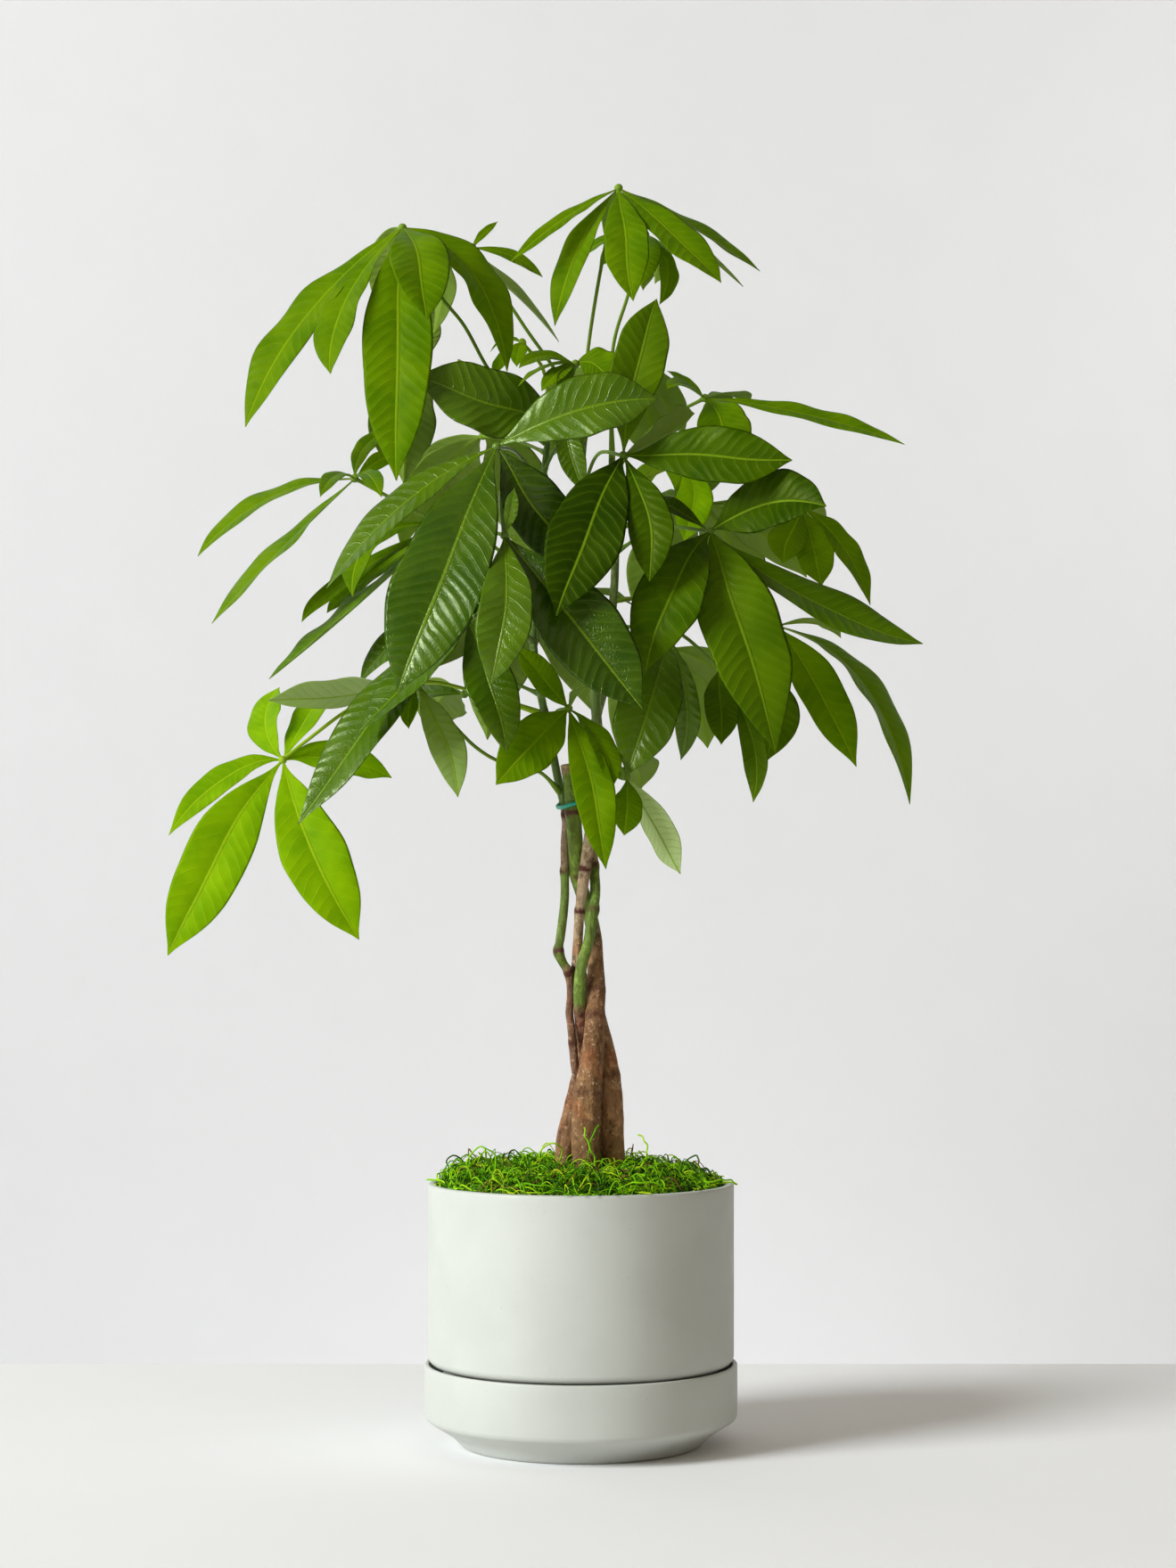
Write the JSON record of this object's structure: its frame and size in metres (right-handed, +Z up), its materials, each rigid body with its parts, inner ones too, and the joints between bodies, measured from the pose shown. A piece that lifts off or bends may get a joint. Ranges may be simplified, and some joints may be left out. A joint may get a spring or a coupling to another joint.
{
  "type": "potted money tree",
  "caption": "Braided-trunk money tree with drooping palmate leaves, standing in a round sage pot on a matching saucer.",
  "frame": {"origin": "centre of the saucer's flat underside, on the pot's axis", "axes": "+Z up along the pot's axis, +X to the right and +Y to the back of the plant as it is seen from the front"},
  "size_m": [0.426, 0.3045, 0.7342],
  "materials": {
    "glaze": "matte sage glaze",
    "soil": "damp potting mix",
    "moss": "curly dried moss",
    "bark": "rough bark",
    "young_bark": "smooth green-brown bark",
    "tie": "coated wire",
    "leaf_dark": "glossy leaf",
    "leaf_mid": "satin leaf",
    "leaf_lime": "young thin leaf"
  },
  "bodies": {
    "root": {"saucer": "glaze", "pot": "glaze", "soil": "soil", "moss": "moss", "stem_front": "bark", "stem_right": "bark", "stem_left": "bark", "stem_thin": "young_bark", "twist_tie": "tie", "leaf_top_centre": "leaf_mid", "leaf_top_right": "leaf_mid", "leaf_top_left": "leaf_mid", "leaf_top_left_back": "leaf_mid", "leaf_small_crown": "leaf_lime", "leaf_small_star": "leaf_mid", "leaf_upper_left_glossy": "leaf_dark", "leaf_front_left": "leaf_dark", "leaf_centre": "leaf_dark", "leaf_right_front": "leaf_dark", "leaf_front_hanging": "leaf_dark", "leaf_left": "leaf_mid", "leaf_left_inner": "leaf_mid", "leaf_left_lower": "leaf_dark", "leaf_lime_low": "leaf_lime", "leaf_low_left": "leaf_mid", "leaf_low_centre": "leaf_dark", "leaf_low_right": "leaf_mid", "leaf_right_inner": "leaf_dark", "leaf_right_small": "leaf_dark", "leaf_right_lower": "leaf_mid", "leaf_right_upper": "leaf_mid", "leaf_right_middle": "leaf_mid", "leaf_right_young": "leaf_lime", "leaf_back_left": "leaf_mid", "leaf_back_right": "leaf_mid", "leaf_back_low": "leaf_dark", "leaf_back_low_right": "leaf_mid", "leaf_back_top": "leaf_mid", "leaf_back_upper_left": "leaf_dark", "leaf_back_lower_left": "leaf_dark"}
  },
  "joints": []
}
